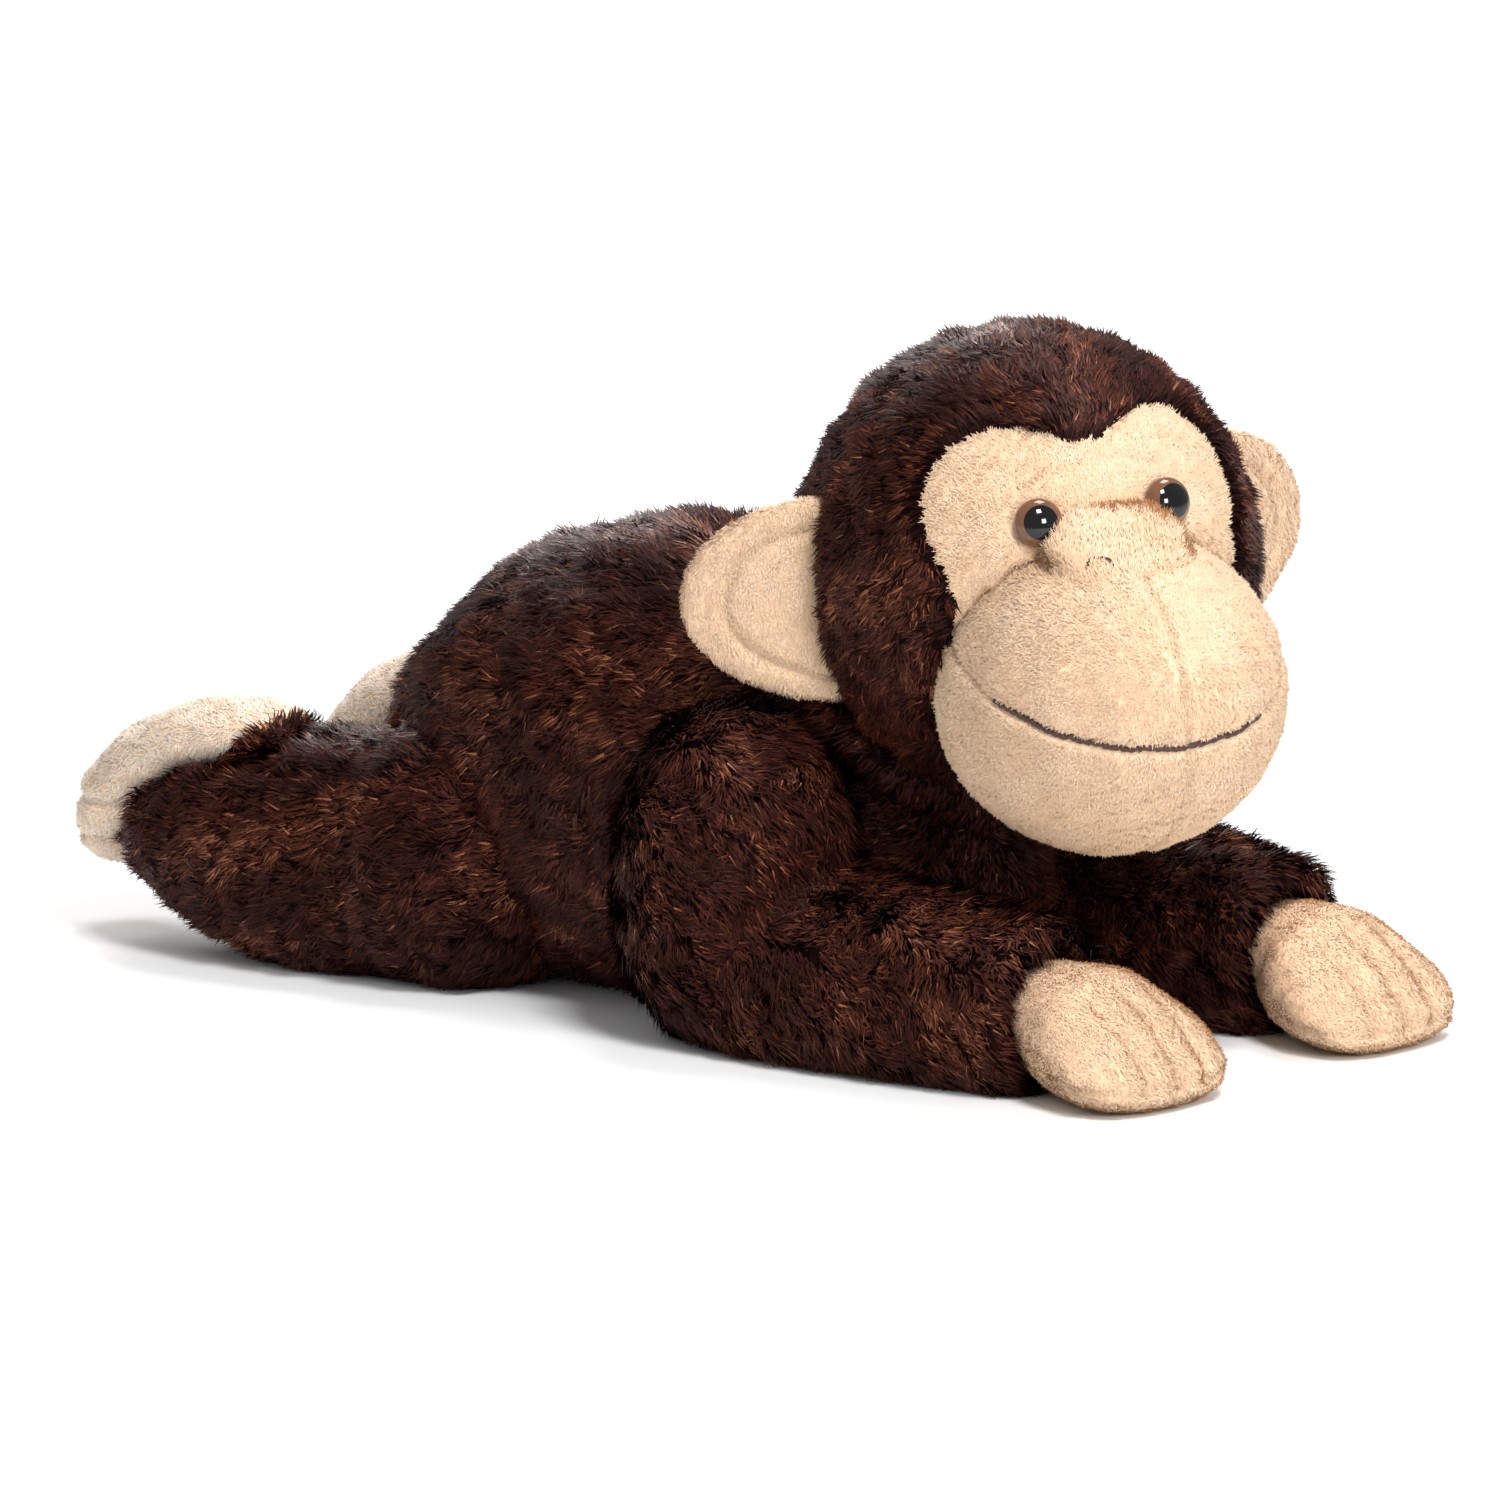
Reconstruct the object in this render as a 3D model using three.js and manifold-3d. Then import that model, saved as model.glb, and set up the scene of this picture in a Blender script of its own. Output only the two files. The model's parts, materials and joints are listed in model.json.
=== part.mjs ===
// A floppy stuffed monkey lying on its belly with its head up, sewn from cloth panels around loose
// filling. Millimetres, +Z up. It looks along -Y, so its left side is +X. The origin is on the floor,
// under the middle of the toy.
import * as THREE from 'three';
import { mergeVertices } from 'three/addons/utils/BufferGeometryUtils.js';
import Module from 'manifold-3d';

const wasm = await Module();
wasm.setup();

// Driving dimensions
const GAP = 0.3; // between neighbouring pieces
const CLOTH = 2.4; // thickness of a panel with its pile pressed down
const FILL = CLOTH + GAP; // inset of the filling behind a panel
const PLAY = 0.8; // between parts that move past each other
const BIG = 600; // larger than the toy, for cutting tools
const SIDES = { left: 1, right: -1 };

const HEAD_AT = [0, -89, 119];
const HEAD_TURN = -26; // degrees, towards its right
const HEAD_ROLL = -4;
const HEAD_RADII = [55, 55, 56];
const HEAD_REACH = 56; // largest radius of the head ball
const COLLAR_RADIUS = 65;
const COLLAR_PLAY = 2;
const COLLAR_TILT = 50; // degrees below level, towards the back
const COLLAR_SPREAD = 36; // half angle that the collar covers

const FACE_LOBE = { across: 17.5, up: 19, radius: 23.5 };
const FACE_BROW = 38.5; // the height where the two lobes run together
const FACE_FRONT = -22; // the face opening is cut in the ball ahead of this
const MUZZLE_AT = [0, -44, -24];
const MUZZLE_RADII = [42.5, 49, 39.5];
const MUZZLE_BACK = -30;
const MOUTH_HEIGHT = -30; // at the front of the muzzle
const MOUTH_SLOPE = 0.4; // how fast the mouth rises towards the cheeks
const MOUTH_THREAD = 1.4;
const MOUTH_FROM = -41; // its corners across the muzzle
const MOUTH_TO = 27;
const NOSE_AT = [0, -58, 15];
const NOSE_RADII = [21, 14, 8.5];

const EYE_AT = { across: 17.3, up: 21 };
const EYE_RADIUS = 6;
const EYE_DOME = 3.4;
const POST_RADIUS = 1.6;
const POST_LENGTH = 8;
const WASHER_RADIUS = 6.5;
const WASHER_DEPTH = 5.4; // below the face panel's surface
const EYE_POCKET = 9;

const EAR_ROOT = [48.5, 5, -3];
const EAR_REACH = 39;
const EAR_HALF_HEIGHT = 25.5;
const EAR_LAYER = 3.2;
const EAR_SWEEP = 30; // degrees swept back
const EAR_FLEX = 20;
const EAR_PLAY = 1;

const SHOULDER = [50, -38];
const UPPER_ARM = [[0, 0], [9, 0], [19, 8], [26, 23], [28.5, 42], [26, 60], [19, 73], [9, 80], [0, 81.5]];
const UPPER_ARM_RADIUS = 28.5;
const UPPER_ARM_TOP = 81.5;
const WRIST = [46, -134, 18.5];
const CUFF = -133; // where the sleeve ends
const HAND_LIFT = 30;
const HAND_DROP = -12;

const HIP = [35, 62];
const HIP_HEIGHT = 30;
const HIP_RADIUS = 34;
const LEG_SWING = 40;
const ANKLE = [47, 138, 32];
const FOOT_FLEX = 12;
const FOOT_PLAY = 1.5;
const SOLE_NORMAL = [0, 0.6, 0.8]; // of the plane between a sole and its instep
const SOLE_OFFSET = 113;
const BAG_TOP = 24; // height of the pellet bag in the belly

const STITCH_WIDE = 1.0;
const STITCH_SUNK = 1.1;

const COLOURS = {
  fur: { color: 0x3a1c14, roughness: 0.75 },
  cream: { color: 0xf3d9b9, roughness: 0.85 },
  filling: { color: 0xf2f0ea, roughness: 0.95 },
  pellets: { color: 0xd9dcd6, roughness: 0.6 },
  thread: { color: 0x4a2218, roughness: 0.7 },
  eye: { color: 0x120b08, roughness: 0.08 },
  washer: { color: 0xe8e8e4, roughness: 0.4 },
};

// Turns a closed geometry into a solid that can be joined and cut.
function solid(geometry) {
  const bare = geometry.clone();
  bare.deleteAttribute('normal');
  bare.deleteAttribute('uv');
  const merged = mergeVertices(bare, 1e-4);
  const vertProperties = Float32Array.from(merged.attributes.position.array);
  const triVerts = Uint32Array.from(merged.index.array);
  const made = new wasm.Manifold(new wasm.Mesh({ numProp: 3, vertProperties, triVerts }));
  if (made.volume() > 0) {
    return made;
  }
  triVerts.reverse();
  return new wasm.Manifold(new wasm.Mesh({ numProp: 3, vertProperties, triVerts }));
}

function moved(piece, matrix) {
  return piece.transform(matrix.elements);
}

function ball(centre, radii, inset = 0, around = 16, up = 10) {
  const geometry = new THREE.SphereGeometry(1, around, up);
  geometry.rotateX(Math.PI / 2);
  geometry.scale(...radii.map((radius) => radius - inset));
  geometry.translate(...centre);
  return solid(geometry);
}

function block(low, high) {
  const size = high.map((value, i) => value - low[i]);
  const geometry = new THREE.BoxGeometry(...size);
  geometry.translate(...low.map((value, i) => value + size[i] / 2));
  return solid(geometry);
}

function turned(profile, around = 16) {
  const points = profile.map(([radius, height]) => new THREE.Vector2(radius, height));
  return new THREE.LatheGeometry(points, around);
}

// A sausage whose rings follow a path. Each station has a centre, a half width across and a half
// height. A higher fullness gives blunter ends.
function limb(stations, fullness, inset = 0, around = inset > 0 ? 8 : 12, rings = inset > 0 ? 6 : 8) {
  const path = new THREE.CatmullRomCurve3(stations.map(({ at }) => new THREE.Vector3(...at)));
  const girth = new THREE.CatmullRomCurve3(
    stations.map(({ wide, tall }) => new THREE.Vector3(wide - inset, tall - inset, 0)),
  );
  const length = path.getLength();
  const margin = inset / length;
  const geometry = new THREE.SphereGeometry(1, around, rings);
  const place = geometry.attributes.position;
  for (let i = 0; i < place.count; i += 1) {
    const along = place.getY(i);
    const reach = margin + ((1 - along) / 2) * (1 - 2 * margin);
    const t = THREE.MathUtils.clamp(reach, 0, 1);
    const closing = Math.sqrt(Math.max(0, 1 - Math.abs(along) ** fullness));
    const turn = Math.atan2(place.getZ(i), place.getX(i));
    const tangent = path.getTangent(t);
    const side = new THREE.Vector3(1, 0, 0).addScaledVector(tangent, -tangent.x).normalize();
    const upward = tangent.clone().cross(side);
    const size = girth.getPoint(t).multiplyScalar(closing);
    const point = path.getPoint(t).addScaledVector(tangent, (reach - t) * length);
    point.addScaledVector(side, Math.cos(turn) * size.x);
    point.addScaledVector(upward, Math.sin(turn) * size.y);
    place.setXYZ(i, point.x, point.y, point.z);
  }
  return solid(geometry);
}

function aboveFloor(piece, height = 0) {
  return piece.trimByPlane([0, 0, 1], height);
}

// The space that a piece takes as it turns about an axis through a point.
function swept(piece, axis, point, degrees) {
  const away = new THREE.Matrix4().makeTranslation(...point);
  const back = away.clone().invert();
  const direction = new THREE.Vector3(...axis).normalize();
  return degrees
    .map((angle) => new THREE.Matrix4().makeRotationAxis(direction, THREE.MathUtils.degToRad(angle)))
    .map((turn) => moved(piece, away.clone().multiply(turn).multiply(back)))
    .reduce((whole, part) => whole.add(part));
}

// A cut can leave a crumb beside a panel, so a node keeps the largest body.
function largest(piece) {
  return piece.decompose().reduce((best, body) => (body.volume() > best.volume() ? body : best));
}

function node(name, piece, finish) {
  const { vertProperties, triVerts } = largest(piece).getMesh();
  const geometry = new THREE.BufferGeometry();
  geometry.setAttribute('position', new THREE.BufferAttribute(vertProperties, 3));
  geometry.setIndex(new THREE.BufferAttribute(triVerts, 1));
  geometry.computeVertexNormals();
  const mesh = new THREE.Mesh(geometry, new THREE.MeshStandardMaterial({ metalness: 0, ...COLOURS[finish] }));
  mesh.name = name;
  return mesh;
}

function shell(shape) {
  return shape(0).subtract(shape(CLOTH));
}

// Splits a shell into the half on each side of a plane, with a gap between them.
function halves(piece, normal, offset) {
  const against = normal.map((value) => -value);
  return [
    piece.trimByPlane(normal, offset + GAP / 2),
    piece.trimByPlane(against, -offset + GAP / 2),
  ];
}

// A strip of stitching that follows the surface of a shape inside a cutting block, and the
// shape's panel with the groove that the strip lies in.
function stitched(panel, shape, low, high) {
  const band = shape(-STITCH_SUNK / 4).subtract(shape(STITCH_SUNK));
  const strip = band.intersect(block(low, high));
  const room = block(low.map((value) => value - GAP), high.map((value) => value + GAP));
  const groove = shape(-1).subtract(shape(STITCH_SUNK + GAP)).intersect(room);
  return [strip, panel.subtract(groove)];
}

// Arms: an upper arm that is round about the shoulder's upright axis, and a forearm on the floor.
function armShape(side, inset) {
  const [x, y] = SHOULDER;
  const upper = turned(UPPER_ARM);
  upper.rotateX(Math.PI / 2);
  const scale = (UPPER_ARM_RADIUS - inset) / UPPER_ARM_RADIUS;
  upper.scale(scale, scale, (UPPER_ARM_TOP - inset) / UPPER_ARM_TOP);
  upper.translate(side * x, y, 0);
  const forearm = limb([
    { at: [side * 50, -18, 20], wide: 22, tall: 23 },
    { at: [side * 50, -70, 20], wide: 24, tall: 24.5 },
    { at: [side * 47, -110, 19.5], wide: 23, tall: 23.5 },
    { at: [side * 45, -152, 18], wide: 21, tall: 21.5 },
  ], 8, inset);
  return aboveFloor(solid(upper).add(forearm), inset);
}

function handShape(side, inset) {
  const [x, y, z] = WRIST;
  return aboveFloor(limb([
    { at: [side * x, y + 15, z], wide: 14, tall: 13 },
    { at: [side * x, y, z], wide: 15, tall: 14 },
    { at: [side * x, y - 7, z - 1], wide: 18, tall: 15 },
    { at: [side * (x - 1), y - 20, z - 4], wide: 27, tall: 16 },
    { at: [side * (x - 2), y - 34, z - 10], wide: 26, tall: 10.5 },
    { at: [side * (x - 2), y - 42, z - 13], wide: 22, tall: 6.5 },
  ], 6, inset), inset);
}

function legShape(side, inset) {
  const [x, y] = HIP;
  const hip = ball([side * x, y, HIP_HEIGHT], [HIP_RADIUS, HIP_RADIUS, HIP_RADIUS], inset, 12, 8);
  const shin = limb([
    { at: [side * 36, 50, 27], wide: 26, tall: 31 },
    { at: [side * 43, 95, 27], wide: 28, tall: 31 },
    { at: [side * 47, 125, 31], wide: 26, tall: 25 },
    { at: [side * 47, 150, 33], wide: 22, tall: 17 },
  ], 6, inset);
  return aboveFloor(hip.add(shin), inset);
}

function footShape(side, inset) {
  const x = side * ANKLE[0];
  return limb([
    { at: [x, 106, 57], wide: 17, tall: 6.5 },
    { at: [x, 128, 54], wide: 20, tall: 9 },
    { at: [x, 147, 44], wide: 22, tall: 12.5 },
    { at: [x, 158, 30], wide: 22, tall: 14 },
    { at: [x, 158, 17], wide: 20, tall: 11 },
  ], 5, inset);
}

const hipZone = (side, inset) => swept(
  legShape(side, -PLAY - inset), [0, 0, -side], [side * HIP[0], HIP[1], 0], [0, LEG_SWING / 4, LEG_SWING / 2],
);

function headZone(inset) {
  const radius = COLLAR_RADIUS + COLLAR_PLAY + inset;
  return ball(HEAD_AT, [radius, radius, radius]);
}

const torsoStations = [
  [-84, 46, 34], [-50, 74, 45], [-15, 101, 53], [20, 114, 57], [50, 103, 55], [76, 77, 46], [100, 44, 28],
];

function torsoShape(inset) {
  const sink = 4; // how far the belly would reach below the floor if it weren't flattened
  const stations = torsoStations.map(([y, top, wide]) => (
    { at: [0, y, (top - sink) / 2], wide, tall: (top + sink) / 2 }
  ));
  let torso = aboveFloor(limb(stations, 4, inset, inset > 0 ? 10 : 16, inset > 0 ? 7 : 10), inset);
  torso = torso.subtract(headZone(inset));
  for (const side of Object.values(SIDES)) {
    torso = torso.subtract(armShape(side, -PLAY - inset)).subtract(hipZone(side, inset));
  }
  return torso;
}

function torsoNodes() {
  const [back, belly] = halves(shell(torsoShape), [0, 0, 1], 16);
  const [left, right] = halves(back, [1, 0, 0], 0);
  const filling = torsoShape(FILL);
  const [stuffing, pellets] = halves(filling, [0, 0, 1], BAG_TOP);
  return [
    node('torso_back_panel_left', left, 'fur'),
    node('torso_back_panel_right', right, 'fur'),
    node('torso_belly_panel', belly, 'fur'),
    node('torso_stuffing', stuffing, 'filling'),
    node('belly_pellet_bag', pellets, 'pellets'),
  ];
}

// The collar is the piece of neck that the head ball rests in.
function collarNode() {
  const sphere = (radius) => ball(HEAD_AT, [radius, radius, radius]);
  const bowl = sphere(COLLAR_RADIUS).subtract(sphere(HEAD_REACH + COLLAR_PLAY));
  const reach = BIG / 4;
  const spread = Math.tan(THREE.MathUtils.degToRad(COLLAR_SPREAD));
  const wedge = new THREE.ConeGeometry(reach * spread, reach, 28);
  wedge.translate(0, -reach / 2, 0);
  wedge.rotateX(THREE.MathUtils.degToRad(180 - COLLAR_TILT));
  wedge.translate(...HEAD_AT);
  return node('neck_collar', bowl.intersect(solid(wedge)), 'fur');
}

function armNodes(name, side) {
  const handSweep = (inset) => swept(
    handShape(side, -inset), [-1, 0, 0], [side * WRIST[0], WRIST[1], WRIST[2]], [HAND_DROP, 0, HAND_LIFT],
  );
  const open = armShape(side, 0).subtract(handSweep(PLAY));
  const sleeve = open.trimByPlane([0, 1, 0], CUFF).subtract(armShape(side, CLOTH));
  const stuffing = armShape(side, FILL).trimByPlane([0, 1, 0], WRIST[1] + 20);
  const shape = (inset) => handShape(side, inset);
  let [top, palm] = halves(shell(shape), [0, -0.25, 1], 40.5);
  const stitches = [-11, 0, 11].map((offset, i) => {
    const x = side * (WRIST[0] - 2) + offset;
    const low = [x - STITCH_WIDE / 2, WRIST[1] - 38, 8.5];
    const high = [x + STITCH_WIDE / 2, WRIST[1] - 22, 40];
    const [strip, panel] = stitched(top, shape, low, high);
    top = panel;
    return node(`hand_finger_stitch_${name}_${i + 1}`, strip, 'cream');
  });
  return [
    node(`arm_sleeve_${name}`, sleeve, 'fur'),
    node(`arm_stuffing_${name}`, stuffing, 'filling'),
    node(`hand_back_panel_${name}`, top, 'cream'),
    node(`hand_palm_panel_${name}`, palm, 'cream'),
    node(`hand_pellet_bag_${name}`, handShape(side, FILL), 'pellets'),
    ...stitches,
  ];
}

function legNodes(name, side) {
  const footSweep = (inset) => swept(
    footShape(side, -inset), [1, 0, 0], [side * ANKLE[0], ANKLE[1], ANKLE[2]], [-FOOT_FLEX, 0, FOOT_FLEX],
  );
  const sleeve = shell((inset) => legShape(side, inset)).subtract(footSweep(FOOT_PLAY));
  const stuffing = legShape(side, FILL).subtract(footSweep(FOOT_PLAY + CLOTH));
  const shape = (inset) => footShape(side, inset);
  let [sole, instep] = halves(shell(shape), SOLE_NORMAL, SOLE_OFFSET);
  const stitches = [26, 36].map((height, i) => {
    const start = (SOLE_OFFSET - SOLE_NORMAL[2] * height) / SOLE_NORMAL[1] + 2;
    const low = [side * ANKLE[0] - 30, start, height - STITCH_WIDE / 2];
    const high = [side * ANKLE[0] + 30, 190, height + STITCH_WIDE / 2];
    const [strip, panel] = stitched(sole, shape, low, high);
    sole = panel;
    return node(`foot_toe_stitch_${name}_${i + 1}`, strip, 'cream');
  });
  return [
    node(`leg_sleeve_${name}`, sleeve, 'fur'),
    node(`leg_stuffing_${name}`, stuffing, 'filling'),
    node(`foot_sole_panel_${name}`, sole, 'cream'),
    node(`foot_instep_panel_${name}`, instep, 'fur'),
    node(`foot_pellet_bag_${name}`, footShape(side, FILL), 'pellets'),
    ...stitches,
  ];
}

// The head's own frame has its origin at the middle of the ball and looks along -Y.
const ballShape = (inset) => ball([0, 0, 0], HEAD_RADII, inset, 18, 12);
const muzzleShape = (inset) => ball(MUZZLE_AT, MUZZLE_RADII, inset, 16, 10);
const noseShape = (inset) => ball(NOSE_AT, NOSE_RADII, inset, 12, 6);

function faceTool(inset) {
  const { across, up, radius } = FACE_LOBE;
  const outline = (x) => {
    const lobe = new THREE.CylinderGeometry(radius - inset, radius - inset, BIG / 4, 16);
    lobe.translate(x, -BIG / 8 + FACE_FRONT, up);
    return solid(lobe);
  };
  const low = [-across - radius + inset + 3, FACE_FRONT - BIG / 4, -4];
  const high = [across + radius - inset - 3, FACE_FRONT, up];
  const brow = block([-across, FACE_FRONT - BIG / 4, 0], [across, FACE_FRONT, FACE_BROW - inset]);
  return outline(-across).add(outline(across)).add(block(low, high)).add(brow);
}

function earPart(side, first, last, grow = 0) {
  const shape = new THREE.Shape();
  shape.absellipse(0, 0, EAR_REACH + grow, EAR_HALF_HEIGHT + grow, -Math.PI / 2, Math.PI / 2, false);
  const depth = last - first;
  const curveSegments = grow > 0 ? 6 : 10;
  const geometry = new THREE.ExtrudeGeometry(shape, { depth, bevelEnabled: false, curveSegments });
  geometry.rotateX(Math.PI / 2);
  geometry.translate(-grow / 2, last, 0);
  geometry.rotateZ(THREE.MathUtils.degToRad(EAR_SWEEP));
  const [x, y, z] = EAR_ROOT;
  geometry.translate(x, y, z);
  const turn = side > 0 ? new THREE.Matrix4() : new THREE.Matrix4().makeScale(-1, 1, 1);
  geometry.applyMatrix4(turn);
  return solid(geometry);
}

function earNodes(name, side) {
  return [
    node(`ear_front_panel_${name}`, earPart(side, -EAR_LAYER - GAP / 2, -GAP / 2), 'cream'),
    node(`ear_back_panel_${name}`, earPart(side, GAP / 2, EAR_LAYER + GAP / 2), 'cream'),
  ];
}

const earSweep = (side, grow) => swept(
  earPart(side, -EAR_LAYER - grow, EAR_LAYER + grow, grow), [0, 0, 1],
  [side * EAR_ROOT[0], EAR_ROOT[1], EAR_ROOT[2]], [-EAR_FLEX, EAR_FLEX],
);

// An eye's parts are turned about its own axis, which stands square to the face.
function eyePart(side, profile) {
  const { across, up } = EYE_AT;
  const out = Math.sqrt(HEAD_RADII[1] ** 2 - across ** 2 - up ** 2);
  const seat = new THREE.Vector3(side * across, -out, up);
  const aim = new THREE.Vector3(side * across * 0.6, -out, up * 0.6).normalize();
  const geometry = turned(profile, 12);
  geometry.applyQuaternion(new THREE.Quaternion().setFromUnitVectors(new THREE.Vector3(0, 1, 0), aim));
  geometry.translate(seat.x, seat.y, seat.z);
  return solid(geometry);
}

function eyeSolids(side, grow) {
  const rim = EYE_RADIUS + grow;
  const post = POST_RADIUS + grow;
  const dome = [1, 0.75, 0.5, 0.25, 0].map((share) => (
    [rim * Math.sin((share * Math.PI) / 2), 0.5 + (EYE_DOME + grow) * Math.cos((share * Math.PI) / 2)]
  ));
  const end = -POST_LENGTH - grow;
  const seat = -0.6 - grow;
  const button = [[0, end], [post, end], [post, seat], [rim, seat], ...dome];
  const inner = POST_RADIUS + GAP - grow;
  const lock = WASHER_RADIUS + grow * 2;
  const [low, high] = [-WASHER_DEPTH - 0.8 - grow, -WASHER_DEPTH + 0.8 + grow];
  const ring = [[inner, low], [lock, low], [lock, high], [inner, high], [inner, low]];
  const pocket = [[0, -EYE_POCKET], [lock, -EYE_POCKET], [lock, 0], [0, 0]];
  return { button: eyePart(side, button), ring: eyePart(side, ring), pocket: eyePart(side, pocket) };
}

function headNodes() {
  const front = block([-BIG, -BIG, -BIG], [BIG, MUZZLE_BACK, BIG]);
  const snout = muzzleShape(-GAP).add(noseShape(-GAP));
  let fur = shell(ballShape).subtract(faceTool(0)).subtract(snout);
  let face = shell(ballShape).intersect(faceTool(GAP)).subtract(snout);
  let stuffing = ballShape(FILL).subtract(snout);
  const muzzle = muzzleShape(0).subtract(muzzleShape(CLOTH)).intersect(front).subtract(noseShape(-GAP));
  const filling = muzzleShape(FILL).intersect(front).subtract(noseShape(-GAP));
  let nose = noseShape(0);
  const pieces = [];
  for (const [name, side] of Object.entries(SIDES)) {
    const room = eyeSolids(side, GAP);
    const { button, ring } = eyeSolids(side, 0);
    fur = fur.subtract(earSweep(side, EAR_PLAY));
    face = face.subtract(room.button);
    nose = nose.subtract(room.button);
    stuffing = stuffing.subtract(earSweep(side, EAR_PLAY)).subtract(room.pocket);
    pieces.push(node(`eye_${name}`, button, 'eye'), node(`eye_lock_washer_${name}`, ring, 'washer'));
    pieces.push(...earNodes(name, side));
  }
  const slope = Math.hypot(1, MOUTH_SLOPE);
  const normal = [0, -MOUTH_SLOPE / slope, 1 / slope];
  const line = (MOUTH_HEIGHT + (MUZZLE_RADII[1] - MUZZLE_AT[1]) * MOUTH_SLOPE) / slope;
  const band = muzzleShape(-0.4).subtract(muzzleShape(STITCH_SUNK));
  const across = block([MOUTH_FROM, -BIG, -BIG], [MOUTH_TO, MUZZLE_AT[1], BIG]);
  const thread = band.intersect(across)
    .trimByPlane(normal, line - MOUTH_THREAD / 2)
    .trimByPlane(normal.map((value) => -value), -line - MOUTH_THREAD / 2);
  const groove = muzzleShape(-2).subtract(muzzleShape(STITCH_SUNK + GAP))
    .intersect(block([MOUTH_FROM - GAP, -BIG, -BIG], [MOUTH_TO + GAP, MUZZLE_AT[1] + GAP, BIG]))
    .trimByPlane(normal, line - MOUTH_THREAD / 2 - GAP)
    .trimByPlane(normal.map((value) => -value), -line - MOUTH_THREAD / 2 - GAP);
  const [upper, chin] = halves(muzzle.subtract(groove), normal, line);
  const [upperLeft, upperRight] = halves(upper, [1, 0, 0], 0);
  const [furLeft, furRight] = halves(fur, [1, 0, 0], 0);
  return [
    ...pieces,
    node('head_panel_left', furLeft, 'fur'),
    node('head_panel_right', furRight, 'fur'),
    node('face_panel', face, 'cream'),
    node('muzzle_panel_left', upperLeft, 'cream'),
    node('muzzle_panel_right', upperRight, 'cream'),
    node('chin_panel', chin, 'cream'),
    node('nose_pad', nose, 'cream'),
    node('mouth_thread', thread, 'thread'),
    node('head_stuffing', stuffing, 'filling'),
    node('muzzle_stuffing', filling, 'filling'),
  ];
}

const head = new THREE.Group();
head.position.set(...HEAD_AT);
head.rotation.set(0, THREE.MathUtils.degToRad(HEAD_ROLL), THREE.MathUtils.degToRad(HEAD_TURN), 'ZYX');
head.add(...headNodes());

const monkey = new THREE.Group();
monkey.add(...torsoNodes(), collarNode(), head);
for (const [name, side] of Object.entries(SIDES)) {
  monkey.add(...armNodes(name, side), ...legNodes(name, side));
}

export default monkey;
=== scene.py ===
"""Cloth, pile and stitching for a floppy stuffed monkey that lies on its belly."""

import json
import math

import bpy
import numpy as np
from bpy.props import FloatProperty, FloatVectorProperty, IntProperty, PointerProperty
from bpy.types import Operator, Panel, PropertyGroup
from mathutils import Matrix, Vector
from mathutils.bvhtree import BVHTree
from mathutils.kdtree import KDTree

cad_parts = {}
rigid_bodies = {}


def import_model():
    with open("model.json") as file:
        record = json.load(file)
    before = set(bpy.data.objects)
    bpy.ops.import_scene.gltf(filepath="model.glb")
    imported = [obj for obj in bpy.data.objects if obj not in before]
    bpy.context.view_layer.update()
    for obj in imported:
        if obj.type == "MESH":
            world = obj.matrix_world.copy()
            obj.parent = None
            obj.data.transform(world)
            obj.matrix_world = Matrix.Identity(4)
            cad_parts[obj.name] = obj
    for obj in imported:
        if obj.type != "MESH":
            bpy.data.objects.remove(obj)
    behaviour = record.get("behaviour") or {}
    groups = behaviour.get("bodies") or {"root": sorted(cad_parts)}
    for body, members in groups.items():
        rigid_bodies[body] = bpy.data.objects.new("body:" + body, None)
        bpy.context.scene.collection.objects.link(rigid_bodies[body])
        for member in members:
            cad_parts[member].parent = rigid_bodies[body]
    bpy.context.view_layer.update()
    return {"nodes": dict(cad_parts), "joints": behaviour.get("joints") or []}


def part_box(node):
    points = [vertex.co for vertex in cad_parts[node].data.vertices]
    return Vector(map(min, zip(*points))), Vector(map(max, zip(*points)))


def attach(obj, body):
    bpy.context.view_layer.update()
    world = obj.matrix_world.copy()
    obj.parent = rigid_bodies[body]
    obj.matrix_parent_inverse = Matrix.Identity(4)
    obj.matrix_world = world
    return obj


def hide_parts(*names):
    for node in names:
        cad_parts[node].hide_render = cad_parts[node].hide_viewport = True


bl_info = {
    "name": "Stuffed Monkey",
    "version": (1, 0, 0),
    "blender": (4, 5, 0),
    "location": "View3D > Sidebar > Monkey",
    "description": "Dresses the frame of a stuffed monkey in cloth, pile and thread",
    "category": "Add Mesh",
}

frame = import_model()

MM = 0.001
SIDES = {"left": 1, "right": -1}
JOINTS = {joint["name"]: joint for joint in frame["joints"]}

# The head's own directions: across to its left, back, and up.
HEAD_AT = np.array(JOINTS["head_nod"]["pos_m"])
HEAD_ACROSS = np.array(JOINTS["head_nod"]["axis"])
HEAD_UP = np.array(JOINTS["ear_flex_left"]["axis"])
HEAD_BACK = np.cross(HEAD_UP, HEAD_ACROSS)
HEAD_AXES = np.array([HEAD_ACROSS, HEAD_BACK, HEAD_UP])
HEAD_RADIUS, EYE_ACROSS, EYE_UP = 55 * MM, 17.3 * MM, 21 * MM
FACE_LOBE_ACROSS, FACE_LOBE_UP, FACE_LOBE_RADIUS, FACE_BROW = 17.5 * MM, 19 * MM, 22.5 * MM, 37.5 * MM
MOUTH_FRONT_HEIGHT, MOUTH_SLOPE, MUZZLE_FRONT = -30 * MM, 0.4, -93 * MM
NOSE_AT, NOSE_RADII = np.array([0, -58, 15]) * MM, np.array([22.5, 15.5, 10]) * MM


def colour(name, description, default):
    return FloatVectorProperty(
        name=name, description=description, subtype="COLOR", size=3, min=0, max=1, default=default
    )


def length(name, description, default):
    return FloatProperty(
        name=name, description=description, unit="LENGTH", min=0, precision=4, default=default
    )


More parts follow.
